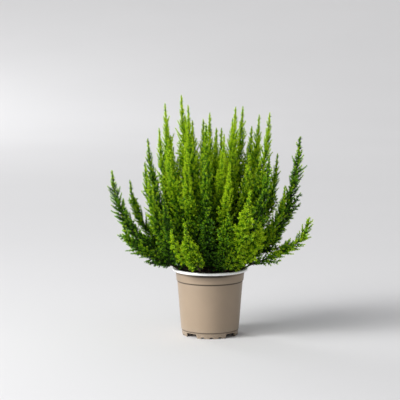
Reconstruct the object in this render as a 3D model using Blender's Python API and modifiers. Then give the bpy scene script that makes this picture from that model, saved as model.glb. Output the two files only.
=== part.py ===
"""Potted heather: a thermoformed nursery pot, its compost, a woody base and the leafy shoots.

Metres, +Z up. The origin is on the pot's axis, in the plane that the foot stands on.
The side that the photograph shows faces -Y. Each shoot is one slim closed body: a bare stem
at its foot that swells to the core of its plume and tapers to its tip.
"""

import math

import bmesh
import bpy
from mathutils import Matrix, Vector, noise
from mathutils.geometry import interpolate_bezier

NAME = "potted_heather"

# Pot
POT_HEIGHT = 0.099
RIM_RADIUS = 0.055
WALL = 0.0013
LIP_DEPTH = 0.0036
COLLAR_TOP_RADIUS = 0.05075
COLLAR_FOOT_RADIUS = 0.0492
COLLAR_FOOT = 0.0808
BODY_TOP_RADIUS = 0.04805
BODY_FOOT_RADIUS = 0.04245
BODY_FOOT = 0.0092
GROOVE = 0.0006
EASE = 0.0004
LIP_WALL = 0.0012
LIP_ROUND = 0.001
STEP_DEPTH = 0.001
FLOOR_ROUND = 0.0014
FOOT_STEP = 0.0005
FLOOR_TOP = 0.0078
FLOOR = 0.0014
FOOT_RADIUS = 0.0407
FOOT_WALL = 0.0018
TURN_STEPS = 48
TURN_MERGE = 0.00005

# Notches in the foot ring, and holes in the floor
FOOT_TURN = math.radians(3.0)
WIDE_NOTCHES = 4
WIDE_NOTCH = math.radians(26.0)
WIDE_NOTCH_HEIGHT = 0.0062
SMALL_NOTCH_STEP = math.radians(18.0)
SMALL_NOTCH_WIDTH = 0.0048
SMALL_NOTCH_HEIGHT = 0.0024
DRAIN_HOLES = 8
DRAIN_RADIUS = 0.0035
DRAIN_CIRCLE = 0.027
DRAIN_STEPS = 12
CUT_BELOW = 0.002

# Compost and woody base
GAP = 0.0003
SOIL_TOP = 0.095
SOIL_EDGE = 0.0008
BASE_RADIUS = 0.0115
BASE_HEIGHT = 0.007
BASE_CUT = 0.3
BASE_ROUGHNESS = 0.0016
BASE_LUMPS = 2.3

# Shoots
STEM_RADIUS = 0.0012
PLUME_RADIUS = 0.0062
TIP_RADIUS = 0.0004
BARE_SHARE = 0.06
FULL_SHARE = 0.38
TAPER_START = 0.5
TAPER_POWER = 0.8
WIDEST_BASE = 0.0425
SWAY = 0.003
SWAY_TURN = 2.4
SHOOT_POINTS = 11

# The two handles of a shoot's curve, as shares of its run outwards and of its rise. Each pair
# holds the share of a straight shoot and that of a low arc, whose first handle is lifted too.
FIRST_OUT = (0.12, 0.54)
FIRST_UP = (0.20, 0.03)
SECOND_OUT = (0.84, 0.97)
SECOND_UP = (0.66, 0.40)
ARC_LIFT = 0.026

# Each family of shoots: how far out its foot stands as a share of its reach, how far it sweeps
# out before it rises, from 0 for straight to 1 for a low arc, its plume's width, and its tips.
FAMILIES = {
    "tall_shoot": {
        "foot": 0.22,
        "sweep": 0.35,
        "width": 0.8,
        "tips": [
            (-0.042, 0.016, 0.350),
            (-0.032, -0.012, 0.337),
            (0.037, -0.006, 0.334),
            (0.048, 0.020, 0.333),
            (-0.010, 0.024, 0.314),
            (-0.006, -0.020, 0.311),
            (0.009, 0.002, 0.303),
            (0.017, 0.036, 0.300),
            (0.020, -0.026, 0.296),
            (-0.026, 0.046, 0.311),
        ],
    },
    "middle_shoot": {
        "foot": 0.27,
        "sweep": 0.55,
        "width": 1.0,
        "tips": [
            (-0.066, 0.026, 0.337),
            (-0.074, -0.004, 0.303),
            (-0.060, -0.036, 0.288),
            (-0.036, -0.056, 0.280),
            (-0.008, -0.054, 0.264),
            (0.028, -0.056, 0.258),
            (0.056, -0.040, 0.270),
            (0.062, 0.046, 0.302),
            (0.072, 0.018, 0.321),
            (0.086, -0.010, 0.326),
            (0.034, 0.070, 0.312),
            (0.000, 0.076, 0.320),
            (-0.036, 0.078, 0.314),
            (-0.064, 0.056, 0.300),
        ],
    },
    "outer_shoot": {
        "foot": 0.29,
        "sweep": 0.70,
        "width": 1.0,
        "tips": [
            (-0.092, 0.046, 0.284),
            (-0.118, 0.026, 0.224),
            (-0.094, -0.026, 0.256),
            (-0.088, -0.056, 0.236),
            (-0.066, -0.082, 0.212),
            (0.084, -0.052, 0.266),
            (0.108, -0.028, 0.222),
            (0.100, 0.040, 0.262),
            (0.074, 0.078, 0.286),
            (0.034, 0.106, 0.262),
            (-0.014, 0.112, 0.252),
            (-0.062, 0.100, 0.242),
        ],
    },
    "front_shoot": {
        "foot": 0.36,
        "sweep": 0.50,
        "width": 0.95,
        "tips": [
            (0.055, -0.104, 0.224),
            (0.070, -0.084, 0.176),
            (0.026, -0.088, 0.190),
            (-0.004, -0.074, 0.196),
            (-0.036, -0.116, 0.180),
            (-0.055, -0.098, 0.168),
        ],
    },
    "low_shoot": {
        "foot": 0.32,
        "sweep": 0.9,
        "width": 0.85,
        "tips": [
            (0.130, -0.008, 0.291),
            (0.142, -0.036, 0.176),
            (0.122, 0.070, 0.196),
            (0.060, 0.114, 0.172),
            (-0.010, 0.117, 0.160),
            (-0.080, 0.110, 0.178),
            (-0.130, 0.062, 0.192),
            (-0.143, 0.004, 0.240),
            (-0.124, -0.052, 0.172),
        ],
    },
}

# Colours: red, green, blue, then roughness
TAUPE = (0.42, 0.34, 0.26, 0.45)
COMPOST = (0.035, 0.022, 0.015, 0.95)
BARK = (0.12, 0.07, 0.04, 0.85)
GREENS = {
    "tall_shoot": (0.17, 0.28, 0.03, 0.6),
    "middle_shoot": (0.14, 0.25, 0.03, 0.6),
    "outer_shoot": (0.10, 0.20, 0.02, 0.6),
    "front_shoot": (0.22, 0.36, 0.03, 0.6),
    "low_shoot": (0.07, 0.15, 0.02, 0.6),
}


def clear_scene():
    for item in list(bpy.data.objects):
        bpy.data.objects.remove(item, do_unlink=True)


def new_collection(name):
    made = bpy.data.collections.new(name)
    bpy.context.scene.collection.children.link(made)
    return made


def material(name, look):
    made = bpy.data.materials.new(name)
    made.use_nodes = True
    shader = made.node_tree.nodes["Principled BSDF"]
    shader.inputs["Base Color"].default_value = (*look[:3], 1.0)
    shader.inputs["Roughness"].default_value = look[3]
    shader.inputs["Metallic"].default_value = 0.0
    made.diffuse_color = (*look[:3], 1.0)
    return made


def turned(name, profile, finish, collection):
    """A solid of revolution, from (radius, height) pairs that start and end on the axis."""
    mesh = bpy.data.meshes.new(name)
    points = [(radius, 0.0, height) for radius, height in profile]
    mesh.from_pydata(points, [(i, i + 1) for i in range(len(points) - 1)], [])
    item = bpy.data.objects.new(name, mesh)
    mesh.materials.append(finish)
    collection.objects.link(item)
    screw = item.modifiers.new("turn", "SCREW")
    screw.steps = TURN_STEPS
    screw.render_steps = TURN_STEPS
    screw.use_merge_vertices = True
    screw.merge_threshold = TURN_MERGE
    return item


def inner_radius(height):
    """The radius of the pot's inside at a height on its plain wall or its collar."""
    if height < COLLAR_FOOT:
        share = (height - BODY_FOOT) / (COLLAR_FOOT - BODY_FOOT)
        return BODY_FOOT_RADIUS + share * (BODY_TOP_RADIUS - BODY_FOOT_RADIUS) - WALL
    share = (height - COLLAR_FOOT) / (POT_HEIGHT - LIP_DEPTH - COLLAR_FOOT)
    return COLLAR_FOOT_RADIUS + share * (COLLAR_TOP_RADIUS - COLLAR_FOOT_RADIUS) - WALL


def pot_profile():
    """From the floor up the inside, over the rolled lip, down the outside and under the floor."""
    lip_foot = POT_HEIGHT - LIP_DEPTH
    step = COLLAR_FOOT - STEP_DEPTH
    inside = [
        (0.0, FLOOR_TOP),
        (inner_radius(BODY_FOOT) - FLOOR_ROUND, FLOOR_TOP),
        (inner_radius(BODY_FOOT), BODY_FOOT),
        (inner_radius(step), step),
        (inner_radius(COLLAR_FOOT), COLLAR_FOOT + EASE),
        (inner_radius(lip_foot), lip_foot),
        (COLLAR_TOP_RADIUS - EASE, POT_HEIGHT - 2.0 * EASE),
    ]
    lip = [
        (COLLAR_TOP_RADIUS + 2.0 * EASE, POT_HEIGHT),
        (RIM_RADIUS - LIP_WALL, POT_HEIGHT),
        (RIM_RADIUS, POT_HEIGHT - LIP_ROUND),
        (RIM_RADIUS, lip_foot),
        (RIM_RADIUS - LIP_WALL, lip_foot),
        (RIM_RADIUS - LIP_WALL, POT_HEIGHT - LIP_WALL),
        (COLLAR_TOP_RADIUS + EASE, POT_HEIGHT - WALL),
    ]
    outside = [
        (COLLAR_TOP_RADIUS, lip_foot),
        (COLLAR_FOOT_RADIUS, COLLAR_FOOT),
        (BODY_TOP_RADIUS - GROOVE, COLLAR_FOOT - EASE),
        (BODY_TOP_RADIUS, COLLAR_FOOT - 3.0 * EASE),
        (BODY_FOOT_RADIUS, BODY_FOOT),
        (BODY_FOOT_RADIUS - FOOT_STEP, BODY_FOOT - 2.0 * FOOT_STEP),
        (FOOT_RADIUS + FOOT_STEP, FLOOR_TOP - 0.5 * EASE),
        (FOOT_RADIUS, 0.0),
        (FOOT_RADIUS - FOOT_WALL, 0.0),
        (FOOT_RADIUS - FOOT_WALL, FLOOR_TOP - FLOOR),
        (0.0, FLOOR_TOP - FLOOR),
    ]
    return inside + lip + outside


def around(angle, radius, height=0.0):
    """A point at a bearing from the side that faces -Y, turning towards +X."""
    return Vector((radius * math.sin(angle), -radius * math.cos(angle), height))


def add_cutter_box(shape, angle, width, height):
    """A box through the foot ring, standing from below it to the given height."""
    made = bmesh.ops.create_cube(shape, size=1.0)["verts"]
    bmesh.ops.scale(shape, vec=(width, 4.0 * FOOT_WALL, height + CUT_BELOW), verts=made)
    centre = around(0.0, FOOT_RADIUS - 0.5 * FOOT_WALL, 0.5 * (height - CUT_BELOW))
    bmesh.ops.translate(shape, vec=centre, verts=made)
    turn = Matrix.Rotation(angle, 3, "Z")
    bmesh.ops.rotate(shape, cent=(0.0, 0.0, 0.0), matrix=turn, verts=made)


def make_cutters(collection):
    """The foot's notches and the floor's holes, as one object of separate closed shapes."""
    shape = bmesh.new()
    quarter = math.tau / WIDE_NOTCHES
    for side in range(WIDE_NOTCHES):
        middle = FOOT_TURN + side * quarter
        wide = 2.0 * FOOT_RADIUS * math.sin(0.5 * WIDE_NOTCH)
        add_cutter_box(shape, middle + 0.5 * quarter, wide, WIDE_NOTCH_HEIGHT)
        for step in (-1, 0, 1):
            angle = middle + step * SMALL_NOTCH_STEP
            add_cutter_box(shape, angle, SMALL_NOTCH_WIDTH, SMALL_NOTCH_HEIGHT)
    for hole in range(DRAIN_HOLES):
        made = bmesh.ops.create_cone(
            shape,
            cap_ends=True,
            segments=DRAIN_STEPS,
            radius1=DRAIN_RADIUS,
            radius2=DRAIN_RADIUS,
            depth=4.0 * FLOOR,
        )["verts"]
        place = around(hole * math.tau / DRAIN_HOLES, DRAIN_CIRCLE, FLOOR_TOP - 0.5 * FLOOR)
        bmesh.ops.translate(shape, vec=place, verts=made)
    mesh = bpy.data.meshes.new("pot_cutters")
    shape.to_mesh(mesh)
    shape.free()
    item = bpy.data.objects.new("pot_cutters", mesh)
    item.hide_render = True
    item.display_type = "WIRE"
    collection.objects.link(item)
    return item


def make_pot(collection, cutters):
    item = turned("pot", pot_profile(), material("taupe_plastic", TAUPE), collection)
    cut = item.modifiers.new("notches_and_holes", "BOOLEAN")
    cut.operation = "DIFFERENCE"
    cut.solver = "EXACT"
    cut.object = make_cutters(cutters)
    return item


def make_compost(collection):
    """The root ball, which fills the pot to just under its rim."""
    foot = BODY_FOOT + GAP
    step = COLLAR_FOOT - STEP_DEPTH
    profile = [
        (0.0, SOIL_TOP),
        (inner_radius(SOIL_TOP) - GAP - SOIL_EDGE, SOIL_TOP),
        (inner_radius(SOIL_TOP) - GAP, SOIL_TOP - SOIL_EDGE),
        (inner_radius(COLLAR_FOOT) - GAP, COLLAR_FOOT + 2.0 * EASE),
        (inner_radius(step) - GAP, step),
        (inner_radius(foot) - GAP, foot),
        (inner_radius(BODY_FOOT) - FLOOR_ROUND - GAP, FLOOR_TOP + GAP),
        (0.0, FLOOR_TOP + GAP),
    ]
    return turned("compost", profile, material("compost_brown", COMPOST), collection)


def make_woody_base(collection):
    """The knobbly stump on the compost that the inner shoots spring from."""
    half_height = BASE_HEIGHT / (1.0 + BASE_CUT)
    shape = bmesh.new()
    bmesh.ops.create_icosphere(shape, subdivisions=2, radius=1.0)
    bmesh.ops.bisect_plane(
        shape,
        geom=shape.verts[:] + shape.edges[:] + shape.faces[:],
        plane_co=(0.0, 0.0, -BASE_CUT),
        plane_no=(0.0, 0.0, 1.0),
        clear_inner=True,
    )
    rim = [edge for edge in shape.edges if edge.is_boundary]
    bmesh.ops.holes_fill(shape, edges=rim, sides=0)
    for vert in shape.verts:
        radius = BASE_RADIUS + BASE_ROUGHNESS * noise.noise(vert.co * BASE_LUMPS)
        vert.co.x *= radius
        vert.co.y *= radius
        vert.co.z = SOIL_TOP + GAP + (vert.co.z + BASE_CUT) * half_height
    bmesh.ops.recalc_face_normals(shape, faces=shape.faces)
    mesh = bpy.data.meshes.new("woody_base")
    shape.to_mesh(mesh)
    shape.free()
    mesh.materials.append(material("bark", BARK))
    item = bpy.data.objects.new("woody_base", mesh)
    collection.objects.link(item)
    return item


def smooth(low, high, value):
    share = min(1.0, max(0.0, (value - low) / (high - low)))
    return share * share * (3.0 - 2.0 * share)


def shoot_radius(share, width):
    """The core's radius at a share of the way from the foot to the tip."""
    body = PLUME_RADIUS * width
    swell = STEM_RADIUS + (body - STEM_RADIUS) * smooth(BARE_SHARE, FULL_SHARE, share)
    if share < TAPER_START:
        return swell
    left = (1.0 - share) / (1.0 - TAPER_START)
    return TIP_RADIUS + (swell - TIP_RADIUS) * left**TAPER_POWER


def between(pair, share):
    return pair[0] + share * (pair[1] - pair[0])


def shoot_path(tip, foot_share, sweep, side):
    """Points from a shoot's foot to its tip, on one curve in the plane of its bearing that sways."""
    tip = Vector(tip)
    out = Vector((tip.x, tip.y, 0.0))
    reach = out.length
    out.normalize()
    across = Vector((-out.y, out.x, 0.0)) * SWAY * side
    foot_radius = min(WIDEST_BASE, foot_share * reach)
    foot_height = SOIL_TOP + GAP
    if foot_radius < BASE_RADIUS + BASE_ROUGHNESS + 2.0 * STEM_RADIUS:
        foot_height += BASE_HEIGHT + GAP
    run = reach - foot_radius
    rise = tip.z - foot_height
    foot = out * foot_radius + Vector((0.0, 0.0, foot_height))
    early = Vector((0.0, 0.0, between(FIRST_UP, sweep) * rise + ARC_LIFT * sweep))
    late = Vector((0.0, 0.0, between(SECOND_UP, sweep) * rise))
    first = foot + out * between(FIRST_OUT, sweep) * run + early + across
    second = foot + out * between(SECOND_OUT, sweep) * run + late - across
    level = (first - foot).normalized().to_2d().length
    foot.z += STEM_RADIUS * level
    return interpolate_bezier(foot, first, second, tip, SHOOT_POINTS)


def make_shoot(name, points, width, finish, collection):
    curve = bpy.data.curves.new(name, "CURVE")
    curve.dimensions = "3D"
    curve.bevel_depth = 1.0
    curve.bevel_resolution = 1
    curve.use_fill_caps = True
    spline = curve.splines.new("POLY")
    spline.points.add(len(points) - 1)
    for index, point in enumerate(points):
        spline.points[index].co = (*point, 1.0)
        spline.points[index].radius = shoot_radius(index / (len(points) - 1), width)
    curve.materials.append(finish)
    item = bpy.data.objects.new(name, curve)
    collection.objects.link(item)
    return item


def make_shoots(collection):
    for family, plan in FAMILIES.items():
        finish = material(family + "_green", GREENS[family])
        for number, tip in enumerate(plan["tips"], start=1):
            side = math.sin(SWAY_TURN * number)
            points = shoot_path(tip, plan["foot"], plan["sweep"], side)
            make_shoot(f"{family}_{number:02d}", points, plan["width"], finish, collection)


def main():
    clear_scene()
    parts = new_collection(NAME)
    cutters = new_collection(NAME + "_cutters")
    cutters.hide_render = True
    make_pot(parts, cutters)
    make_compost(parts)
    make_woody_base(parts)
    make_shoots(parts)


main()
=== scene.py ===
"""Potted heather: a pale-lipped nursery pot, crumbly compost, a woody base and leafy shoots.

Laid out as an add-on and run as a script. Every size is in metres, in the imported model's own frame.
"""

import bisect
import math
import random
from dataclasses import dataclass, replace

import bmesh
import bpy
import numpy as np
from bpy.types import Operator, Panel, PropertyGroup
from mathutils import Euler, Matrix, Vector, noise
from mathutils.geometry import interpolate_bezier


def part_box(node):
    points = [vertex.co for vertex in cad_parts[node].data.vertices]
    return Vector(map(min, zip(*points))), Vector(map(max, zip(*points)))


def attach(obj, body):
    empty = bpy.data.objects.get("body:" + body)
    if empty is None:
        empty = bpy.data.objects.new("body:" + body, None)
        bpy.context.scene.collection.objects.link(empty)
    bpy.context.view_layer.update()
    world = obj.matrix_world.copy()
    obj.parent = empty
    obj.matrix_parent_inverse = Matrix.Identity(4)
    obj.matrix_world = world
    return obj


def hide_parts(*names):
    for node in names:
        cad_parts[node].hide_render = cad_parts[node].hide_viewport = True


bl_info = {
    "name": "Potted heather",
    "version": (1, 0, 0),
    "blender": (4, 5, 0),
    "location": "View3D > Sidebar > Heather",
    "description": "Builds a potted heather around its packed model",
    "category": "Add Mesh",
}

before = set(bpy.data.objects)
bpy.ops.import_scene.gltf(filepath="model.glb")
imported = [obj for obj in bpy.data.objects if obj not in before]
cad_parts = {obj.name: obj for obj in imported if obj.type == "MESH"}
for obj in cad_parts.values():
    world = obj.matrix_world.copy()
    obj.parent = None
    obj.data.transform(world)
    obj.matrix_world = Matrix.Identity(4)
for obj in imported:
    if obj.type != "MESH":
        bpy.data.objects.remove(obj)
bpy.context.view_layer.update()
BODY = "root"
LEAF_MAP = "OFBake"
MERGE = 1e-6
GOLDEN_TURN = math.radians(137.5)

# The pot's own box gives its height and the radius of its lip
POT_LOW, POT_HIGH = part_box("pot")
POT_TOP = POT_HIGH.z
LIP_RADIUS = 0.5 * (POT_HIGH.x - POT_LOW.x)
SOIL_LOW, SOIL_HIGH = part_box("compost")
SOIL_TOP = SOIL_HIGH.z
SOIL_RADIUS = 0.5 * (SOIL_HIGH.x - SOIL_LOW.x)
BASE_LOW, BASE_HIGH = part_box("woody_base")

# Sides of a shoot's packed tube, and points of its smooth line from one ring to the next
RING_SIDES = 6
LINE_STEPS = 8

# Smallest distance of a twig's ends to the compost, and to the pot's lip
SOIL_CLEARANCE = 0.001
LIP_CLEARANCE = 0.003

# How far outside the lip a twig has to be before it may hang as low as the lip
LIP_SHADE = 0.018

# Places along the leaf map: a leaf's root and tip, the ends of a whorl's bead, and the stems
LEAF_ROOT = 0.05
LEAF_TIP = 0.95
BEAD_END = 0.30
STEM_STRIP = 0.96

# Turn from one side of a whorl to the next, and from one whorl to the next, in degrees
WHORL_TURN = 60.0

# Lengths of the stem's leafy tip, of the shortest twigs, and of the shortest and longest sprays
TIP_LEAVES = 0.030
TWIG_LEAST = 0.0040
SPRAY_LEAST = 0.018
SPRAY_MOST = 0.042

# The plant's core, whose leaves get painted shade: its radius, its top, and the height over which the
# painted shade deepens
CORE_RADIUS = 0.085
CORE_TOP = 0.21
CORE_FADE = 0.08

# How far below a shoot's tip its leaves start to darken, and over what length they go on darkening:
# older leaves, and painted shade
AGEING_START = 0.09
AGEING_LENGTH = 0.11

# The pot's floor
FLOOR_TOP = 0.0078
FLOOR_THICKNESS = 0.0014

MATERIALS = {}


@dataclass(frozen=True)
class Habit:
    """How the shoots of one family are leafed."""

    longest: float  # longest side twig
    growth: float  # twig length gained for each metre below the tip
    bare_tip: float  # length of the tip that has leaves but no twigs
    spacing: float  # of the side twigs along the stem
    spread: float  # angle between a twig and the stem, in degrees
    bare_foot: float  # share of the stem that has no twigs
    leaf: float  # size of the leaves, as a share of the usual leaf
    fresh: float  # from 0, old and dark, to 1, young and bright
    branching: float  # twigs longer than this have twigs of their own
    sprays: int  # long side shoots, which have twigs of their own too
    inner: float  # how much darker the leaves are deep in the plant: older leaves, and painted shade


HABITS = {
    "tall_shoot": Habit(0.0215, 0.28, 0.006, 0.00172, 35.0, 0.02, 1.0, 0.73, 0.030, 19, 0.60),
    "middle_shoot": Habit(0.0225, 0.29, 0.006, 0.00172, 35.0, 0.02, 1.0, 0.71, 0.030, 17, 0.58),
    "outer_shoot": Habit(0.0220, 0.31, 0.005, 0.00170, 37.0, 0.02, 1.0, 0.57, 0.030, 17, 0.50),
    "front_shoot": Habit(0.0280, 0.44, 0.004, 0.00185, 40.0, 0.02, 1.1, 0.48, 0.012, 4, 0.24),
    "low_shoot": Habit(0.0190, 0.38, 0.003, 0.00160, 45.0, 0.02, 1.1, 0.46, 0.030, 13, 0.44),
}

# What some shoots have that their family doesn't
DENSE = {"longest": 0.020, "spacing": 0.0012, "bare_foot": 0.03, "sprays": 7}
WIDE = {"longest": 0.036, "growth": 0.36}
OWN_HABITS = {
    "front_shoot_01": {"longest": 0.026, "growth": 0.29, "fresh": 0.75},
    "front_shoot_02": {"growth": 0.58, "bare_tip": 0.002, "fresh": 0.73},
    "front_shoot_03": {**DENSE, "fresh": 0.26},
    "front_shoot_04": {**DENSE, "fresh": 0.22},
    "front_shoot_05": {"growth": 0.34, "fresh": 0.72},
    "front_shoot_06": {"longest": 0.013, "growth": 0.30, "fresh": 0.76},
    "low_shoot_02": {"growth": 0.90, "bare_tip": 0.0015, "fresh": 0.54},
    "low_shoot_09": {"fresh": 0.30},
    "middle_shoot_05": {"fresh": 0.50},
    "middle_shoot_08": WIDE,
    "middle_shoot_11": WIDE,
    "middle_shoot_13": WIDE,
    "middle_shoot_14": WIDE,
    "outer_shoot_05": {"fresh": 0.34},
    "outer_shoot_06": {"fresh": 0.40},
}


def length_property(name, description, default):
    return bpy.props.FloatProperty(
        name=name, description=description, default=default, min=0.0, precision=5, unit="LENGTH"
    )


def angle_property(name, description, degrees):
    return bpy.props.FloatProperty(
        name=name, description=description, default=math.radians(degrees), subtype="ANGLE"
    )


def number_property(name, description, default, unit="NONE"):
    return bpy.props.FloatProperty(name=name, description=description, default=default, unit=unit)


def colour_property(name, description, default):
    return bpy.props.FloatVectorProperty(
        name=name, description=description, default=default, min=0.0, max=1.0, subtype="COLOR"
    )


class HeatherLeafSettings(PropertyGroup):
    """Sizes and colours of the leaves, twigs and stems."""

    leaf_length: length_property("Leaf length", "From the twig's middle to the leaf's tip", 0.0038)
    leaf_angle: angle_property("Leaf angle", "Between a leaf and its twig", 39.0)
    twig_radius: length_property("Twig radius", "Of the twig between its leaves", 0.00060)
    whorl_pitch: length_property("Whorl pitch", "From one whorl of leaves to the next", 0.0023)
    twig_bend: angle_property("Twig bend", "How far a twig turns upwards over its length", 16.0)
    stem_radius: length_property("Stem radius", "Of a shoot's stem at its foot", 0.0012)
    tip_radius: length_property("Tip radius", "Of a shoot's stem at its tip", 0.0004)
    old: colour_property("Old leaf", "Shaded leaves near the stem", (0.008, 0.036, 0.001))
    full: colour_property("Full leaf", "Leaves along the twigs", (0.160, 0.425, 0.002))
    # Young leaves are lighter; this colour is brighter still, painted light for the light that shines
    # through the leaf tips
    young: colour_property("Young leaf", "Leaves at the ends of the twigs", (0.625, 0.900, 0.008))
    bark: colour_property("Bark", "Stems and the woody base", (0.070, 0.038, 0.018))


class HeatherPotSettings(PropertyGroup):
    """Sizes and colours of the pot."""

    wall: length_property("Wall", "Thickness of the plastic", 0.0013)
    lip_depth: length_property("Lip depth", "Height of the rolled lip", 0.0034)
    collar_top: length_property("Collar top", "Outer radius under the lip", 0.05075)
    collar_foot: length_property("Collar foot", "Outer radius at the collar's lower edge", 0.0492)
    collar_height: length_property("Collar height", "Height of the collar's lower edge", 0.0808)
    body_top: length_property("Body top", "Outer radius under the collar", 0.04805)
    body_foot: length_property("Body foot", "Outer radius over the foot ring", 0.04245)
    foot_height: length_property("Foot height", "Height of the foot ring", 0.0092)
    foot_radius: length_property("Foot radius", "Outer radius of the foot ring", 0.0407)
    steps: bpy.props.IntProperty(
        name="Steps", description="Faces round the pot", default=144, min=24
    )
    plastic: colour_property("Plastic", "The pot's outside", (0.325, 0.246, 0.172))
    # Colour of the painted shade under the lip, under the collar and over the foot ring
    painted_shade: colour_property("Painted shade", "Painted shade under the lip, under the collar and over the foot ring", (0.032, 0.022, 0.014))
    white: colour_property("White", "The lip and the inside", (0.930, 0.928, 0.925))


class HeatherCompostSettings(PropertyGroup):
    """Sizes and colours of the compost."""

    crumbs: bpy.props.IntProperty(
        name="Crumbs", description="Loose crumbs on the compost", default=700, min=0
    )
    crumb_size: length_property("Crumb size", "Radius of an ordinary crumb", 0.0009)
    relief: length_property("Relief", "Height of the surface's hollows and mounds", 0.0012)
    damp: colour_property("Damp", "Damp compost", (0.012, 0.007, 0.004))
    dry: colour_property("Dry", "Dry crumbs and fibres", (0.075, 0.042, 0.022))


class HeatherStageSettings(PropertyGroup):
    """The floor, the lights and the camera."""

    half_width: length_property("Half width", "Of the floor, to each side", 40.0)
    front: length_property("Front", "How far the floor reaches to the front", 30.0)
    cove_start: length_property("Cove start", "How far behind the pot the floor rises", 4.0)
    cove_radius: length_property("Cove radius", "Of the curve that joins floor and wall", 12.0)
    wall_top: length_property("Wall top", "Height of the wall behind", 18.0)
    floor: colour_property("Floor", "Colour of the floor and the wall", (0.735, 0.735, 0.750))
    sun: number_property("Sun", "Strength of the soft light from the left and the front", 1.62)
    side_power: number_property("Side light", "Power of the large light at the left", 48.0, "POWER")
    wall_power: number_property("Wall light", "Power of the light on the wall", 88.0, "POWER")
    sky: number_property("Sky", "Strength of the light from all round", 0.37)
    camera_place: bpy.props.FloatVectorProperty(
        name="Camera", description="Its place", default=(-0.0147, -2.3, 0.48), unit="LENGTH"
    )
    camera_tilt: angle_property("Tilt", "How far it looks down", 6.98)
    lens: number_property("Lens", "Focal length in millimetres, on 36 mm", 142.9, "CAMERA")


def maths(operation, reflected=False):
    """An operator that adds a Math node. Reflected, its shade stands after the other value."""

    def method(shade, other):
        values = [other, shade] if reflected else [shade, other]
        return shade.finish.node("ShaderNodeMath", {"operation": operation}, values)

    return method


class Shade:
    """A shader socket. Sums and products of shades and numbers add Math nodes."""

    def __init__(self, finish, socket):
        self.finish = finish
        self.socket = socket

    __add__ = maths("ADD")
    __radd__ = maths("ADD", reflected=True)
    __sub__ = maths("SUBTRACT")
    __rsub__ = maths("SUBTRACT", reflected=True)
    __mul__ = maths("MULTIPLY")
    __rmul__ = maths("MULTIPLY", reflected=True)
    __pow__ = maths("POWER")


class Finish:
    """A material under construction, around one Principled BSDF."""

    # Places of the Mix node's colour sockets, whose names its other sockets share
    MIX_INPUTS = (0, 6, 7)
    MIX_OUTPUT = 2

    def __init__(self, name):
        self.material = bpy.data.materials.new(name)
        self.material.use_nodes = True
        self.nodes = self.material.node_tree.nodes
        self.links = self.material.node_tree.links
        self.shader = self.nodes["Principled BSDF"]

    def set(self, socket, value):
        if isinstance(value, Shade):
            self.links.new(value.socket, socket)
        elif socket.type == "RGBA" and len(value) == 3:
            socket.default_value = (*value, 1.0)
        else:
            socket.default_value = value

    def node(self, kind, settings=None, values=(), output=0):
        """Adds a node. Its values are a list by place, or a dictionary by socket name or place."""
        made = self.nodes.new(kind)
        for key, value in (settings or {}).items():
            if key == "stops":
                self.set_stops(made.color_ramp, value)
            else:
                setattr(made, key, value)
        pairs = values.items() if isinstance(values, dict) else enumerate(values)
        for key, value in pairs:
            self.set(made.inputs[key], value)
        return Shade(self, made.outputs[output])

    def set_stops(self, ramp, stops):
        while len(ramp.elements) < len(stops):
            ramp.elements.new(1.0)
        for element, (place, colour) in zip(ramp.elements, stops):
            element.position = place
            element.color = (*colour, 1.0)

    def mix(self, share, first, second):
        """The first colour where the share is 0, the second where it is 1."""
        values = dict(zip(self.MIX_INPUTS, (share, first, second)))
        return self.node("ShaderNodeMix", {"data_type": "RGBA"}, values, self.MIX_OUTPUT)

    def place(self):
        return self.node("ShaderNodeTexCoord", output="Object")

    def split(self, vector):
        """The three numbers of a vector."""
        first = self.node("ShaderNodeSeparateXYZ", values=[vector])
        return [Shade(self, socket) for socket in first.socket.node.outputs]

    def noise(self, scale, detail=3.0, roughness=0.5):
        values = {"Vector": self.place(), "Scale": scale, "Detail": detail, "Roughness": roughness}
        return self.node("ShaderNodeTexNoise", values=values)

    def between(self, value, low, high):
        """0 at low and 1 at high, whichever is larger, and a smooth change between them."""
        settings = {"interpolation_type": "SMOOTHSTEP"}
        return self.node("ShaderNodeMapRange", settings, {"Value": value, 1: low, 2: high})

    def bump(self, height, distance, strength):
        values = {"Height": height, "Distance": distance, "Strength": strength}
        return self.node("ShaderNodeBump", values=values)

    def wear(self, **values):
        """Puts values or shades on the shader's own sockets, and returns the material."""
        for name, value in values.items():
            self.set(self.shader.inputs[name.replace("_", " ")], value)
        return self.material


def scaled(colour, factor):
    return tuple(min(1.0, factor * part) for part in colour)


def leaf_material(look):
    """Green that the leaf map drives: its u runs from leaf root to tip, its v from old to young."""
    finish = Finish("heather_leaf")
    place = finish.node("ShaderNodeUVMap", {"uv_map": LEAF_MAP})
    along, fresh, _ = finish.split(place)
    stops = [(0.10, look.old), (0.46, look.full), (0.88, look.young)]
    green = finish.node("ShaderNodeValToRGB", {"stops": stops}, [fresh])
    shaded = finish.mix(0.80, green, look.old)
    colour = finish.mix(finish.between(along, 0.08, 0.78), shaded, green)
    rough = 0.62 - 0.14 * along
    return finish.wear(Base_Color=colour, Roughness=rough, Specular_IOR_Level=0.22)


def bark_material(look):
    finish = Finish("heather_bark")
    grain = finish.noise(420.0, 5.0, 0.6)
    patches = finish.noise(90.0, 2.0)
    pale = scaled(look.bark, 2.3)
    dark = scaled(look.bark, 0.35)
    colour = finish.mix(finish.between(grain, 0.35, 0.7), dark, look.bark)
    colour = finish.mix(finish.between(patches, 0.5, 0.75) * 0.6, colour, pale)
    bump = finish.bump(grain, 0.0004, 0.8)
    return finish.wear(Base_Color=colour, Roughness=0.70 + 0.25 * grain, Normal=bump)


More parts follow.
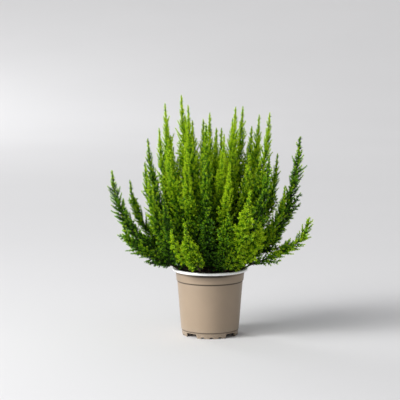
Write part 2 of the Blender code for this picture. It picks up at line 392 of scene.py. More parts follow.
def pot_material(look):
    """Taupe plastic with a faint mottle, fine grain, and a little dust near the foot.

    Painted shade darkens it: a painted shadow under the lip, darkest near the middle in x, and
    painted shade in the grooves under the collar and over the foot ring.
    """
    finish = Finish("pot_taupe")
    mottle = finish.noise(26.0, 3.0, 0.55)
    grain = finish.noise(900.0, 2.0, 0.6)
    x, _, height = finish.split(finish.place())
    darker = scaled(look.plastic, 0.94)
    colour = finish.mix(finish.between(mottle, 0.35, 0.65) * 0.7, look.plastic, darker)
    dusty = finish.between(height, 0.020, 0.002) * finish.between(grain, 0.4, 0.7)
    dust = (0.46, 0.42, 0.37)
    colour = finish.mix(dusty * 0.35, colour, dust)
    lip_foot = POT_TOP - look.lip_depth
    # Painted shade under the lip: a thin painted shadow line and a longer painted shadow below it,
    # strongest near the middle in x
    middle = finish.between(x, -0.046, -0.016) * finish.between(x, 0.046, 0.012)
    line = finish.between(height, lip_foot - 0.0050, lip_foot - 0.0034)
    lip_shadow_fade = finish.between(height, lip_foot - 0.0125, lip_foot - 0.0036)
    painted_shade = (0.30 + 0.66 * middle) * line + 0.46 * middle * lip_shadow_fade * (1.0 - line)
    # Painted shade in the grooves under the collar and over the foot ring
    for edge, groove_shade in ((look.collar_height - 0.0005, 0.80), (look.foot_height - 0.0010, 0.60)):
        rise = finish.between(height, edge - 0.0013, edge - 0.0006)
        fall = finish.between(height, edge + 0.0015, edge + 0.0008)
        painted_shade = painted_shade + rise * fall * groove_shade
    colour = finish.mix(painted_shade, colour, look.painted_shade)
    rough = 0.34 + 0.08 * mottle + 0.06 * grain + 0.4 * painted_shade
    bump = finish.bump(grain * 0.4 + mottle * 1.0, 0.00025, 0.35)
    return finish.wear(Base_Color=colour, Roughness=rough, Normal=bump, Specular_IOR_Level=0.5)


def white_material(look):
    """White plastic with a faint mottle, and soil marks low on the inside."""
    finish = Finish("pot_white")
    mottle = finish.noise(60.0, 3.0)
    speckle = finish.noise(520.0, 4.0, 0.7)
    x, y, height = finish.split(finish.place())
    radius = (x * x + y * y) ** 0.5
    greyer = scaled(look.white, 0.92)
    colour = finish.mix(finish.between(mottle, 0.4, 0.7), look.white, greyer)
    inside = finish.between(radius, look.collar_top - 0.0003, look.collar_top - 0.0008)
    marks = inside * finish.between(height, POT_TOP - 0.001, SOIL_TOP + 0.0005)
    soil = (0.09, 0.06, 0.04)
    colour = finish.mix(marks * finish.between(speckle, 0.42, 0.6), colour, soil)
    rough = 0.30 + 0.15 * mottle
    bump = finish.bump(mottle, 0.0002, 0.25)
    return finish.wear(Base_Color=colour, Roughness=rough, Normal=bump)


def compost_material(look):
    finish = Finish("compost")
    clumps = finish.noise(240.0, 5.0, 0.65)
    fibres = finish.noise(1500.0, 3.0, 0.7)
    middle = tuple(0.5 * (a + b) for a, b in zip(look.damp, look.dry))
    colour = finish.mix(finish.between(clumps, 0.35, 0.6), look.damp, middle)
    colour = finish.mix(finish.between(fibres, 0.55, 0.75), colour, look.dry)
    bump = finish.bump(clumps * 0.7 + fibres * 0.3, 0.0009, 0.9)
    return finish.wear(Base_Color=colour, Roughness=0.86 + 0.12 * fibres, Normal=bump)


def floor_material(look):
    finish = Finish("studio_floor")
    cloud = finish.noise(1.3, 2.0)
    tint = scaled(look.floor, 0.985)
    colour = finish.mix(finish.between(cloud, 0.3, 0.7), look.floor, tint)
    return finish.wear(Base_Color=colour, Roughness=0.75, Specular_IOR_Level=0.2)


def material(name):
    """The shared material of that name, made when it is first asked for."""
    scene = bpy.context.scene
    makers = {
        "leaf": (leaf_material, scene.heather_leaf),
        "bark": (bark_material, scene.heather_leaf),
        "plastic": (pot_material, scene.heather_pot),
        "white": (white_material, scene.heather_pot),
        "compost": (compost_material, scene.heather_compost),
        "floor": (floor_material, scene.heather_stage),
    }
    if name not in MATERIALS:
        maker, look = makers[name]
        MATERIALS[name] = maker(look)
    return MATERIALS[name]


def mesh_of(shape, name, smooth=False):
    """Turns a bmesh into a mesh, smooth all over if asked for, and frees it."""
    mesh = bpy.data.meshes.new(name)
    shape.to_mesh(mesh)
    shape.free()
    if smooth:
        mesh.shade_smooth()
    return mesh


def add_copy(shape, mesh, matrix):
    """Adds a mesh to a bmesh, moved by a matrix."""
    copy = mesh.copy()
    copy.transform(matrix)
    shape.from_mesh(copy)
    bpy.data.meshes.remove(copy)


def linked(name, data):
    """A new object in the scene."""
    item = bpy.data.objects.new(name, data)
    bpy.context.scene.collection.objects.link(item)
    return item


def new_piece(name, mesh, finishes, node):
    """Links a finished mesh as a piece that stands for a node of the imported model."""
    for finish in finishes:
        mesh.materials.append(material(finish))
    piece = linked(name, mesh)
    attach(piece, BODY)
    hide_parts(node)


def turned(profile, steps):
    """A closed solid of revolution, from (radius, height) pairs."""
    shape = bmesh.new()
    points = [shape.verts.new((radius, 0.0, height)) for radius, height in profile]
    edges = [shape.edges.new(pair) for pair in zip(points, points[1:])]
    bmesh.ops.spin(
        shape,
        geom=points + edges,
        axis=(0.0, 0.0, 1.0),
        angle=math.tau,
        steps=steps,
        use_merge=True,
    )
    bmesh.ops.remove_doubles(shape, verts=shape.verts, dist=MERGE)
    bmesh.ops.recalc_face_normals(shape, faces=shape.faces)
    return shape


def arc(centre, radius, start, end, count):
    """Points on an arc in a profile, from one angle to another in degrees."""
    angles = [math.radians(start + (end - start) * i / (count - 1)) for i in range(count)]
    return [(centre[0] + radius * math.cos(a), centre[1] + radius * math.sin(a)) for a in angles]


# Shoots


def tube_rings(node):
    """The ring centres of a shoot's packed tube, from its foot to its tip."""
    shape = bmesh.new()
    shape.from_mesh(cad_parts[node].data)
    bmesh.ops.remove_doubles(shape, verts=shape.verts, dist=MERGE)
    top = max(shape.verts, key=lambda vert: vert.co.z)
    ring = sorted(shape.verts, key=lambda vert: (vert.co - top.co).length)[:RING_SIDES]
    seen = set(ring)
    centres = []
    while ring:
        centres.append(sum((vert.co for vert in ring), Vector()) / len(ring))
        near = dict.fromkeys(edge.other_vert(vert) for vert in ring for edge in vert.link_edges)
        ring = [vert for vert in near if vert not in seen]
        seen.update(ring)
    shape.free()
    return centres[::-1]


class StemLine:
    """A smooth line through a shoot's ring centres, read by the distance from its foot."""

    def __init__(self, node):
        centres = tube_rings(node)
        if len(centres) < 3:
            raise RuntimeError(f"{node} has no tube to follow")
        padded = [2 * centres[0] - centres[1], *centres, 2 * centres[-1] - centres[-2]]
        self.points = []
        for before, start, end, after in zip(padded, padded[1:], padded[2:], padded[3:]):
            first = start + (end - before) / 6.0
            second = end - (after - start) / 6.0
            self.points += interpolate_bezier(start, first, second, end, LINE_STEPS)[:-1]
        self.points.append(centres[-1])
        self.ends = [0.0]
        for start, end in zip(self.points, self.points[1:]):
            self.ends.append(self.ends[-1] + (end - start).length)
        self.length = self.ends[-1]

    def at(self, distance):
        """The point at a distance from the foot, and the way that the stem runs there."""
        index = min(max(bisect.bisect_right(self.ends, distance), 1), len(self.points) - 1)
        start, end = self.points[index - 1], self.points[index]
        step = end - start
        share = (distance - self.ends[index - 1]) / step.length
        return start + share * step, step.normalized()


def leaf_whorl(look):
    """Three leaves round a twig: a six-sided bead with every other side drawn out to a tip."""
    shape = bmesh.new()
    bmesh.ops.create_uvsphere(shape, u_segments=6, v_segments=2, radius=1.0)
    leaf_map = shape.loops.layers.uv.new(LEAF_MAP)
    half = 0.62 * look.whorl_pitch
    tip_out = look.leaf_length * math.sin(look.leaf_angle)
    tip_up = look.leaf_length * math.cos(look.leaf_angle)
    place = {}
    for vert in shape.verts:
        if abs(vert.co.z) > 0.5:
            side = math.copysign(1.0, vert.co.z)
            place[vert] = (BEAD_END, 0.02 * side)
            vert.co = (0.0, 0.0, half * side)
            continue
        turn = math.degrees(math.atan2(vert.co.y, vert.co.x))
        drawn_out = round(turn / WHORL_TURN) % 2 == 0
        place[vert] = (LEAF_TIP if drawn_out else LEAF_ROOT, 0.0)
        reach = tip_out if drawn_out else look.twig_radius
        vert.co = (vert.co.x * reach, vert.co.y * reach, tip_up if drawn_out else 0.0)
    for face in shape.faces:
        for loop in face.loops:
            loop[leaf_map].uv = place[loop.vert]
    return mesh_of(shape, "whorl")


class Foliage:
    """Leafy meshes gathered into one, whose freshness is scaled and lifted at the end."""

    def __init__(self):
        self.shape = bmesh.new()
        self.steps = []

    def add(self, mesh, matrix, gain=1.0, lift=0.0):
        add_copy(self.shape, mesh, matrix)
        self.steps.append((len(mesh.loops), gain, lift))

    def finish(self, name, last=False):
        """The gathered mesh. The last time, its freshness is eased into the map's bounds."""
        mesh = mesh_of(self.shape, name)
        counts, gains, lifts = zip(*self.steps)
        places = np.empty(2 * sum(counts), np.float32)
        layer = mesh.uv_layers[LEAF_MAP].uv
        layer.foreach_get("vector", places)
        fresh = places[1::2] * np.repeat(gains, counts) + np.repeat(lifts, counts)
        places[1::2] = 1.0 / (1.0 + np.exp(4.0 * (0.5 - fresh))) if last else fresh
        layer.foreach_set("vector", places)
        return mesh


def rotation(degrees, axis):
    return Matrix.Rotation(math.radians(degrees), 4, axis)


class Stock:
    """Leafy twigs and sprays of several lengths, to be copied along the stems."""

    def __init__(self, look):
        self.pitch = look.whorl_pitch
        self.bend = look.twig_bend
        self.whorl = leaf_whorl(look)
        self.twigs = {
            count: [self.twig(count, 10 * count + form) for form in range(3)]
            for count in range(2, 12)
        }
        self.short = [self.twig(max(3, count), 900 + count, first=1) for count in range(8)]
        self.sprays = {
            count: [self.twig(count, 500 + count + form, self.short) for form in range(2)]
            for count in range(5, 24, 2)
        }

    def twig(self, count, seed, side_twigs=None, first=0):
        """A leafy twig along +Z that bends towards +X, with side twigs if it is given any.

        The whorls below the first are left out, as another twig hides them.
        """
        chance = random.Random(seed)
        foliage = Foliage()
        place = Matrix.Translation((0.0, 0.0, first * self.pitch))
        bend = Matrix.Rotation(self.bend / count, 4, "Y")
        for index in range(first, count):
            share = index / (count - 1)
            swell = 0.88 + 0.26 * math.sin(math.pi * min(1.0, share + 0.25))
            size = swell * (1.0 - 0.12 * share**4)
            turn = rotation(WHORL_TURN * index + chance.uniform(-14.0, 14.0), "Z")
            lean = rotation(chance.uniform(-7.0, 7.0), "X")
            slim = 1.0 - 0.22 * share**3
            closing = Matrix.Diagonal((slim, slim, 1.0, 1.0))
            whorl_place = place @ lean @ turn @ closing @ Matrix.Scale(size, 4)
            fresh = 0.02 + 0.84 * share**1.3 + chance.uniform(-0.40, 0.30)
            foliage.add(self.whorl, whorl_place, lift=fresh)
            if side_twigs and 0 < index < count - 2:
                side_count = min(len(side_twigs) - 1, round(0.45 * (count - index)))
                spin = Matrix.Rotation(index * GOLDEN_TURN, 4, "Z")
                out = rotation(chance.uniform(30.0, 42.0), "Y")
                foliage.add(side_twigs[side_count], place @ spin @ out, lift=0.10 * share - 0.04)
            place = place @ bend @ Matrix.Translation((0.0, 0.0, self.pitch))
        return foliage.finish("twig")

    def closest(self, kept, length, chance):
        count = min(kept, key=lambda known: abs(known * self.pitch - length))
        return chance.choice(kept[count])

    def discard(self):
        kept = [self.short, *self.twigs.values(), *self.sprays.values()]
        for mesh in [self.whorl, *(form for forms in kept for form in forms)]:
            bpy.data.meshes.remove(mesh)


def axis_frame(point, along, towards):
    """A matrix whose Z runs along, whose X leans to towards, and whose origin is the point."""
    along = along.normalized()
    across = (towards - along * towards.dot(along)).normalized()
    side = along.cross(across)
    return Matrix.Translation(point) @ Matrix((across, side, along)).transposed().to_4x4()


def sideways(along):
    """Any direction square to a stem."""
    helper = Vector((1.0, 0.0, 0.0)) if abs(along.x) < 0.8 else Vector((0.0, 1.0, 0.0))
    return along.cross(helper).normalized()


def clear_of_pot(point):
    """Whether a point lies over the compost, well over the pot's lip, or clear of it outside."""
    distance = math.hypot(point.x, point.y)
    if distance < SOIL_RADIUS - LIP_CLEARANCE:
        return point.z > SOIL_TOP + SOIL_CLEARANCE
    rise = 0.5 * min(distance - SOIL_RADIUS, LIP_RADIUS + LIP_SHADE - distance)
    return point.z > POT_TOP + LIP_CLEARANCE + rise


def strip_places(face, share):
    """Where the corners of a stem's ring lie on the leaf map, in a narrow strip of their own."""
    return {vert: (STEM_STRIP + 0.006 * side, share) for side, vert in enumerate(face.verts)}


def stem_mesh(line, look):
    """The stem's tube, drawn up ring by ring from a round face at its foot."""
    shape = bmesh.new()
    count = 26
    made = bmesh.ops.create_circle(shape, cap_ends=True, segments=6, radius=1.0)
    face = shape.faces[:][0]
    point, along = line.at(0.0)
    towards = sideways(along)
    placed = axis_frame(point, along, towards) @ Matrix.Scale(look.stem_radius, 4)
    bmesh.ops.transform(shape, matrix=placed, verts=made["verts"])
    strip = strip_places(face, 0.0)
    for index in range(1, count + 1):
        share = index / count
        point, along = line.at(share * line.length)
        towards = (towards - along * towards.dot(along)).normalized()
        radius = look.stem_radius + (look.tip_radius - look.stem_radius) * share
        target = axis_frame(point, along, towards) @ Matrix.Scale(radius, 4)
        drawn = bmesh.ops.extrude_face_region(shape, geom=[face])["geom"]
        face = next(item for item in drawn if isinstance(item, bmesh.types.BMFace))
        bmesh.ops.transform(shape, matrix=target @ placed.inverted(), verts=face.verts)
        strip.update(strip_places(face, share))
        placed = target
    bmesh.ops.recalc_face_normals(shape, faces=shape.faces)
    leaf_map = shape.loops.layers.uv.new(LEAF_MAP)
    for face in shape.faces:
        face.material_index = 1
        for loop in face.loops:
            loop[leaf_map].uv = strip[loop.vert]
    return mesh_of(shape, "stem", smooth=True)


def leaf_the_tip(foliage, line, habit, stock, chance, lift):
    """Leaves that stand on the stem itself, smaller and closed up towards its tip."""
    down = chance.uniform(0.0, 0.0006)
    turn = chance.uniform(0.0, math.tau)
    while down < TIP_LEAVES:
        point, along = line.at(line.length - down)
        size = min(1.0, 0.66 + down / 0.016) * habit.leaf
        closing = (0.84 + min(0.16, down / 0.020)) * size
        shrink = Matrix.Diagonal((closing, closing, size, 1.0))
        spin = Matrix.Rotation(turn, 4, "Z")
        place = axis_frame(point, along, sideways(along)) @ spin @ shrink
        foliage.add(stock.whorl, place, lift=lift + chance.uniform(-0.55, 0.22))
        down += stock.pitch * 0.95
        turn += math.radians(WHORL_TURN + chance.uniform(-10.0, 10.0))


def add_twig(foliage, line, habit, mesh, length, down, turn, spread, lift):
    """Puts a twig on the stem, unless its end would touch the compost or the pot."""
    point, along = line.at(line.length - down)
    out = Matrix.Rotation(turn, 3, along) @ sideways(along)
    way = along * math.cos(spread) + out * math.sin(spread)
    if clear_of_pot(point + way * length) and clear_of_pot(point + way * 0.5 * length):
        place = axis_frame(point, way, along) @ Matrix.Scale(habit.leaf, 4)
        foliage.add(mesh, place, gain=0.9, lift=lift)


def depth_inside(point, down):
    """How deep inside the plant a place on a stem lies, from 0 to 1; its leaves are darker by this:
    older leaves, and painted shade.
    """
    core = max(0.0, 1.0 - math.hypot(point.x, point.y) / CORE_RADIUS)
    low = min(1.0, max(0.0, (CORE_TOP - point.z) / CORE_FADE))
    below = min(1.0, max(0.0, down - AGEING_START) / AGEING_LENGTH)
    return max(below, min(1.0, 1.4 * core * low))


def leafy_shoot(node, habit, stock, look):
    """A stem with leaves on its tip, and side twigs and sprays all round it, longer lower down."""
    chance = random.Random(node)
    line = StemLine(node)
    foliage = Foliage()
    stem = stem_mesh(line, look)
    foliage.add(stem, Matrix.Identity(4))
    bpy.data.meshes.remove(stem)
    own_fresh = habit.fresh - 0.5 + chance.uniform(-0.14, 0.14)
    leaf_the_tip(foliage, line, habit, stock, chance, 0.75 + own_fresh)
    leafy = line.length * (1.0 - habit.bare_foot)
    turn = chance.uniform(0.0, math.tau)
    down = habit.bare_tip
    while down < leafy:
        turn += GOLDEN_TURN + chance.uniform(-0.3, 0.3)
        spread = math.radians(habit.spread + chance.uniform(-9.0, 9.0))
        spread *= 0.78 + 0.22 * min(1.0, down / 0.04)
        reach = min(habit.longest, TWIG_LEAST + habit.growth * (down - habit.bare_tip))
        reach *= chance.uniform(0.66, 1.10)
        lift = own_fresh + chance.uniform(-0.09, 0.09) + 0.20 * (1.0 - min(1.0, down / 0.10))
        # Deep in the plant the leaves are darker: older leaves, and painted shade in the plant's core
        lift -= habit.inner * depth_inside(line.at(line.length - down)[0], down)
        kept = stock.sprays if reach > habit.branching else stock.twigs
        twig = stock.closest(kept, reach / habit.leaf, chance)
        add_twig(foliage, line, habit, twig, reach, down, turn, spread, lift)
        sparser = 1.3 * max(0.0, 1.0 - down / 0.035) + 0.9 * (down / line.length) ** 2
        down += habit.spacing * chance.uniform(0.8, 1.2) * (1.0 + sparser)
    for index in range(habit.sprays):
        turn += GOLDEN_TURN
        deep = index % 3 == 0
        down = leafy * (chance.uniform(0.50, 0.97) if deep else chance.uniform(0.24, 0.85))
        reach = min(SPRAY_MOST, max(SPRAY_LEAST, 0.36 * down)) * chance.uniform(0.8, 1.05)
        spread = math.radians(chance.uniform(26.0, 44.0) if deep else chance.uniform(14.0, 30.0))
        spray = stock.closest(stock.sprays, reach / habit.leaf, chance)
        lift = own_fresh + chance.uniform(-0.08, 0.14)
        # Deep in the plant the sprays are darker: older leaves, and painted shade in the plant's core
        lift -= habit.inner * depth_inside(line.at(line.length - down)[0], down - 0.02)
        add_twig(foliage, line, habit, spray, reach, down, turn, spread, lift)
    return foliage.finish(node, last=True)


class HEATHER_OT_shoots(Operator):
    """Build the leafy shoots of one family on the lines of their packed tubes"""

    bl_idname = "heather.shoots"
    bl_label = "Shoots"
    family: bpy.props.EnumProperty(
        name="Family",
        description="Which shoots to build",
        items=[(name, name.replace("_", " ").capitalize(), "") for name in HABITS],
    )

    def execute(self, context):
        look = context.scene.heather_leaf
        stock = Stock(look)
        nodes = sorted(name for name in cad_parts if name.startswith(self.family))
        if not nodes:
            raise RuntimeError(f"the frame has no {self.family}")
        for node in nodes:
            habit = replace(HABITS[self.family], **OWN_HABITS.get(node, {}))
            mesh = leafy_shoot(node, habit, stock, look)
            new_piece(node + "_leafy", mesh, ["leaf", "bark"], node)
        stock.discard()
        return {"FINISHED"}


class HEATHER_OT_woody_base(Operator):
    """Build the knobbly stump that the inner shoots spring from"""

    bl_idname = "heather.woody_base"
    bl_label = "Woody base"

    def execute(self, context):
        middle = 0.5 * (BASE_LOW + BASE_HIGH)
        half = 0.5 * (BASE_HIGH - BASE_LOW)
        shape = bmesh.new()
        bmesh.ops.create_icosphere(shape, subdivisions=5, radius=1.0)
        for vert in shape.verts:
            knobs = noise.fractal(vert.co * 2.4, 0.6, 2.2, 5)
            furrows = noise.noise(Vector((vert.co.x * 9.0, vert.co.y * 9.0, vert.co.z * 2.0)))
            vert.co *= 0.90 + 0.10 * knobs + 0.04 * furrows
            vert.co.x *= half.x
            vert.co.y *= half.y
            vert.co.z = max(vert.co.z, -0.55) * 1.25 * half.z
            vert.co += middle
        bmesh.ops.recalc_face_normals(shape, faces=shape.faces)
        mesh = mesh_of(shape, "woody_base_bark", smooth=True)
        new_piece("woody_base_bark", mesh, ["bark"], "woody_base")
        return {"FINISHED"}


# Compost


def compost_height(x, y, look):
    """How far the compost's surface stands over its flat level."""
    place = Vector((x, y, 0.0))
    mounds = noise.fractal(place * 55.0, 0.8, 2.1, 3)
    lumps = noise.fractal(place * 420.0, 0.7, 2.0, 3)
    return look.relief * (0.7 * mounds + 0.35 * lumps)


def add_crumb(shape, chance, look, x, y):
    """A small angular lump, half sunk in the surface."""
    made = bmesh.ops.create_icosphere(shape, subdivisions=1, radius=1.0)["verts"]
    size = look.crumb_size * chance.lognormvariate(-0.15, 0.45)
    scale = Matrix.Diagonal((chance.uniform(0.7, 1.5), 1.0, chance.uniform(0.5, 0.9), 1.0))
    turn = Euler([chance.uniform(0.0, math.tau) for _ in range(3)]).to_matrix().to_4x4()
    for vert in made:
        vert.co *= 1.0 + chance.uniform(-0.18, 0.18)
    height = SOIL_TOP + compost_height(x, y, look) + 0.25 * size
    place = Matrix.Translation((x, y, height)) @ turn @ Matrix.Scale(size, 4) @ scale
    bmesh.ops.transform(shape, matrix=place, verts=made)


def compost_profile(pot):
    """The root ball's outline, from the middle of its foot up along the pot and over its top."""
    foot = SOIL_LOW.z
    corner = 0.0014
    gap = 0.0004
    low_radius = pot.body_foot - pot.wall - 0.0003
    step = pot.collar_height - 0.001
    rings = 34
    outline = [
        (0.0, foot),
        (low_radius - corner, foot),
        (low_radius, foot + corner),
        (pot.body_top - pot.wall - gap, step),
        (pot.collar_foot - pot.wall - gap, step + 0.0018),
        (SOIL_RADIUS - 0.0002, SOIL_TOP - 0.0012),
        (SOIL_RADIUS - 0.0004, SOIL_TOP - 0.0003),
    ]
    outline += [(SOIL_RADIUS * (rings - i) / rings, SOIL_TOP) for i in range(1, rings + 1)]
    return outline


class HEATHER_OT_compost(Operator):
    """Build the root ball with a crumbly top"""

    bl_idname = "heather.compost"
    bl_label = "Compost"

    def execute(self, context):
        look = context.scene.heather_compost
        shape = turned(compost_profile(context.scene.heather_pot), 120)
        for vert in shape.verts:
            if vert.co.z > SOIL_TOP - 0.0005:
                edge = min(1.0, (SOIL_RADIUS - math.hypot(vert.co.x, vert.co.y)) / 0.002)
                vert.co.z += compost_height(vert.co.x, vert.co.y, look) * max(0.0, edge)
        body = mesh_of(shape, "compost_body")
        shape = bmesh.new()
        chance = random.Random(7)
        for _ in range(look.crumbs):
            distance = (SOIL_RADIUS - 0.0018) * math.sqrt(chance.random())
            bearing = chance.uniform(0.0, math.tau)
            x, y = distance * math.cos(bearing), distance * math.sin(bearing)
            add_crumb(shape, chance, look, x, y)
        shape.from_mesh(body)
        bpy.data.meshes.remove(body)
        mesh = mesh_of(shape, "compost_crumbly", smooth=True)
        new_piece("compost_crumbly", mesh, ["compost"], "compost")
        return {"FINISHED"}


# Pot


def pot_profile(look):
    """The pot's outline, from the middle of the floor up the inside, over the lip and down."""
    wall = look.wall
    lip_foot = POT_TOP - look.lip_depth
    lip_top = POT_TOP - 0.0004
    step = look.collar_height - 0.001
    groove_foot = look.collar_height - 0.0012
    floor_foot = FLOOR_TOP - FLOOR_THICKNESS
    foot = look.foot_radius
    corner = 0.0014
    brim = 0.0013
    roll = 0.0011
    edge = 0.0006
    inside = [(0.0, FLOOR_TOP)]
    inside += arc((look.body_foot - wall - corner, FLOOR_TOP + corner), corner, -90.0, 0.0, 6)
    inside += [
        (look.body_top - wall, step),
        (look.collar_foot - wall, step + 0.0014),
        (look.collar_top - wall, lip_foot),
    ]
    inner = look.collar_top - wall + 0.0012
    outer = LIP_RADIUS - roll
    lip = arc((inner, lip_top - brim), brim, 180.0, 90.0, 6)
    lip += arc((outer, lip_top - roll), roll, 90.0, 0.0, 7)
    lip += arc((outer + 0.0001, lip_foot + edge), roll - 0.0001, 0.0, -90.0, 5)
    lip += [
        (LIP_RADIUS - 0.0022, lip_foot - 0.0003),
        (LIP_RADIUS - 0.0021, lip_foot + 0.0008),
        (LIP_RADIUS - 0.0028, POT_TOP - 0.0020),
        (look.collar_top + 0.0006, POT_TOP - 0.0021),
        (look.collar_top, POT_TOP - 0.0028),
    ]
    outside = [(look.collar_top - 0.0001, lip_foot)]
    outside += arc((look.collar_foot - edge, look.collar_height + edge), edge, 0.0, -90.0, 5)
    outside += [(look.body_top, look.collar_height), (look.body_top, groove_foot)]
    slope = (look.body_top - look.body_foot) / (look.collar_height - look.foot_height)
    for share in (0.8, 0.6, 0.4, 0.2):
        height = look.foot_height + share * (groove_foot - look.foot_height)
        outside.append((look.body_foot + slope * (height - look.foot_height), height))
    outside += arc((look.body_foot - edge, look.foot_height + 0.0002), edge, 0.0, -80.0, 5)
    outside += [
        (foot + 0.0007, look.foot_height - 0.0012),
        (foot + 0.0002, 0.0008),
        (foot - 0.0004, 0.0),
        (foot - 0.0014, 0.0),
        (foot - 0.0018, 0.0005),
        (foot - 0.0018, floor_foot),
        (0.0, floor_foot),
    ]
    return inside + lip + outside


def notch_mesh(look, width, height, splay=1.0):
    """A block with two rounded upper edges, standing across the foot ring where it faces -Y.

    Its lower side is wider than its upper side by the splay.
    """
    shape = bmesh.new()
    through = 0.0072
    below = 0.002
    middle = (0.0, 0.0009 - look.foot_radius, 0.5 * (height - below))
    bmesh.ops.create_cube(shape, size=1.0)
    upper = [e for e in shape.edges if all(v.co.z > 0.0 for v in e.verts)]
    radial = [e for e in upper if abs(e.verts[0].co.y - e.verts[1].co.y) > 0.5]
    bmesh.ops.scale(shape, vec=(width, through, height + below), verts=shape.verts)
    lower = [vert for vert in shape.verts if vert.co.z < 0.0]
    bmesh.ops.scale(shape, vec=(splay, 1.0, 1.0), verts=lower)
    bmesh.ops.translate(shape, vec=middle, verts=shape.verts)
    bmesh.ops.bevel(
        shape, geom=radial, offset=0.0007, affect="EDGES", segments=3, profile=0.5, material=-1
    )
    return mesh_of(shape, "notch")


def drain_mesh():
    """An upright rod through the floor where it faces -Y."""
    shape = bmesh.new()
    radius = 0.0035
    bmesh.ops.create_cone(
        shape, cap_ends=True, segments=32, radius1=radius, radius2=radius, depth=0.0056
    )
    bmesh.ops.translate(shape, vec=(0.0, -0.027, 0.0071), verts=shape.verts)
    return mesh_of(shape, "drain")


def foot_cutters(look):
    """The foot ring's notches and the floor's drain holes."""
    first = math.radians(2.5)
    quarter = 0.5 * math.pi
    wide = [first + (side + 0.5) * quarter for side in range(4)]
    apart = math.radians(18.0)
    small = [first + side * quarter + apart * k for side in range(4) for k in (-1, 0, 1)]
    drains = [hole * 0.5 * quarter for hole in range(8)]
    cuts = [
        (notch_mesh(look, width=0.0180, height=0.0062, splay=1.22), wide),
        (notch_mesh(look, width=0.0048, height=0.0024), small),
        (drain_mesh(), drains),
    ]
    shape = bmesh.new()
    for mesh, angles in cuts:
        for angle in angles:
            add_copy(shape, mesh, Matrix.Rotation(angle, 4, "Z"))
        bpy.data.meshes.remove(mesh)
    bmesh.ops.recalc_face_normals(shape, faces=shape.faces)
    return mesh_of(shape, "foot_cutters")


def cut(mesh, cutter_mesh):
    """The mesh with the cutter's shapes taken out of it."""
    body = linked("uncut", mesh)
    cutter = linked("cutter", cutter_mesh)
    boolean = body.modifiers.new("cut", "BOOLEAN")
    boolean.operation = "DIFFERENCE"
    boolean.solver = "EXACT"
    boolean.object = cutter
    bpy.context.view_layer.update()
    graph = bpy.context.evaluated_depsgraph_get()
    result = bpy.data.meshes.new_from_object(body.evaluated_get(graph))
    for item in (body, cutter):
        bpy.data.objects.remove(item)
    for used in (mesh, cutter_mesh):
        bpy.data.meshes.remove(used)
    return result


class HEATHER_OT_pot(Operator):
    """Build the pot: a turned wall with a rolled white lip, cut at its foot"""

    bl_idname = "heather.pot"
    bl_label = "Pot"

    def execute(self, context):
        look = context.scene.heather_pot
        shape = turned(pot_profile(look), look.steps)
        lip_foot = POT_TOP - look.lip_depth - 0.0004
        for face in shape.faces:
            middle = face.calc_center_median()
            inwards = middle.x * face.normal.x + middle.y * face.normal.y < 0.0
            inside = middle.z > FLOOR_TOP - 0.0003 and (inwards or face.normal.z > 0.7)
            face.material_index = 1 if inside or middle.z > lip_foot else 0
        uncut = mesh_of(shape, "pot_uncut")
        for finish in ("plastic", "white"):
            uncut.materials.append(material(finish))
        mesh = cut(uncut, foot_cutters(look))
        if len(mesh.polygons) < 1000:
            raise RuntimeError("the pot's cut left too little of it")
        mesh.shade_smooth()
        mesh.set_sharp_from_angle(angle=math.radians(38.0))
        new_piece("pot_turned", mesh, [], "pot")
        return {"FINISHED"}


# Stage


def add_light(name, energy, place, target, size=None):
    """Links a light that faces its target: a rectangle of a given size, or else a sun."""
    lamp = bpy.data.lights.new(name, "AREA" if size else "SUN")
    lamp.energy = energy
    if size:
        lamp.shape = "RECTANGLE"
        lamp.size, lamp.size_y = size
    light = linked(name, lamp)
    light.location = place
    light.rotation_euler = (Vector(target) - Vector(place)).to_track_quat("-Z", "Y").to_euler()
    return lamp


def backdrop_mesh(look):
    """A floor that curves up into a wall far behind, drawn out sideways from its profile."""
    start = look.cove_start
    profile = [(-look.front, 0.0), (start - 0.1, 0.0)]
    profile += arc((start, look.cove_radius), look.cove_radius, -90.0, 0.0, 40)
    profile.append((start + look.cove_radius, look.wall_top))
    shape = bmesh.new()
    points = [shape.verts.new((-look.half_width, y, z)) for y, z in profile]
    edges = [shape.edges.new(pair) for pair in zip(points, points[1:])]
    drawn = bmesh.ops.extrude_edge_only(shape, edges=edges)["geom"]
    moved = [item for item in drawn if isinstance(item, bmesh.types.BMVert)]
    bmesh.ops.translate(shape, vec=(2.0 * look.half_width, 0.0, 0.0), verts=moved)
    for face in shape.faces:
        if face.normal.z - face.normal.y < 0.0:
            face.normal_flip()
    return mesh_of(shape, "floor", smooth=True)


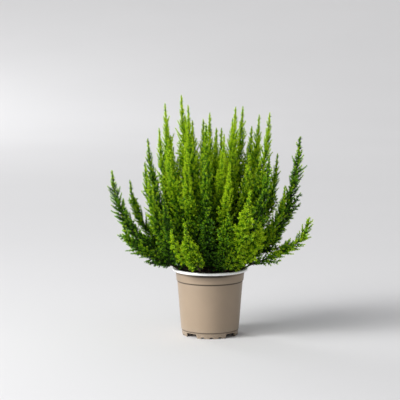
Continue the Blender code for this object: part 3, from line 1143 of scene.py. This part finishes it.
class HEATHER_OT_stage(Operator):
    """Build the pale floor, the lights and the camera"""

    bl_idname = "heather.stage"
    bl_label = "Stage"

    def execute(self, context):
        look = context.scene.heather_stage
        floor = linked("floor", backdrop_mesh(look))
        floor.data.materials.append(material("floor"))

        world = bpy.data.worlds.new("studio")
        world.use_nodes = True
        background = world.node_tree.nodes["Background"]
        background.inputs["Color"].default_value = (0.98, 0.985, 1.0, 1.0)
        background.inputs["Strength"].default_value = look.sky
        context.scene.world = world
        aim = (0.0, 0.0, 0.17)
        sun = add_light("soft_sun", look.sun, (-1.5, -1.1, 1.5), aim)
        sun.angle = math.radians(45.0)
        sun.color = (1.0, 0.985, 0.95)
        add_light("side", look.side_power, (-1.9, -0.85, 0.95), aim, (0.8, 1.5))
        add_light("wall", look.wall_power, (-3.2, 4.0, 1.6), (-0.6, 4.2, 0.0), (1.6, 2.0))

        lens = bpy.data.cameras.new("camera")
        lens.sensor_width = 36.0
        lens.lens = look.lens
        lens.clip_end = 300.0
        camera = linked("camera", lens)
        camera.location = look.camera_place
        camera.rotation_euler = (0.5 * math.pi - look.camera_tilt, 0.0, 0.0)
        context.scene.camera = camera
        context.scene.view_settings.view_transform = "Standard"
        return {"FINISHED"}


class HEATHER_PT_panel(Panel):
    """Lists the steps that build the plant, and the settings they read"""

    bl_idname = "HEATHER_PT_panel"
    bl_label = "Potted heather"
    bl_space_type = "VIEW_3D"
    bl_region_type = "UI"
    bl_category = "Heather"

    def draw(self, context):
        layout = self.layout
        for step in ("heather.stage", "heather.pot", "heather.compost", "heather.woody_base"):
            layout.operator(step)
        for family in HABITS:
            layout.operator("heather.shoots", text=family.replace("_", " ")).family = family
        for group in SETTINGS:
            settings = getattr(context.scene, group)
            box = layout.box()
            for name in settings.__annotations__:
                box.prop(settings, name)


SETTINGS = {
    "heather_leaf": HeatherLeafSettings,
    "heather_pot": HeatherPotSettings,
    "heather_compost": HeatherCompostSettings,
    "heather_stage": HeatherStageSettings,
}
CLASSES = (
    *SETTINGS.values(),
    HEATHER_OT_stage,
    HEATHER_OT_pot,
    HEATHER_OT_compost,
    HEATHER_OT_woody_base,
    HEATHER_OT_shoots,
    HEATHER_PT_panel,
)


def register():
    for item in CLASSES:
        bpy.utils.register_class(item)
    for name, group in SETTINGS.items():
        setattr(bpy.types.Scene, name, bpy.props.PointerProperty(type=group))


def unregister():
    for name in SETTINGS:
        delattr(bpy.types.Scene, name)
    for item in reversed(CLASSES):
        bpy.utils.unregister_class(item)


def clear_startup_objects():
    for name in ("Cube", "Light", "Camera"):
        item = bpy.data.objects.get(name)
        if item:
            bpy.data.objects.remove(item)


def main():
    clear_startup_objects()
    register()
    bpy.ops.heather.stage()
    bpy.ops.heather.pot()
    bpy.ops.heather.compost()
    bpy.ops.heather.woody_base()
    for family in HABITS:
        bpy.ops.heather.shoots(family=family)


if __name__ == "__main__":
    main()
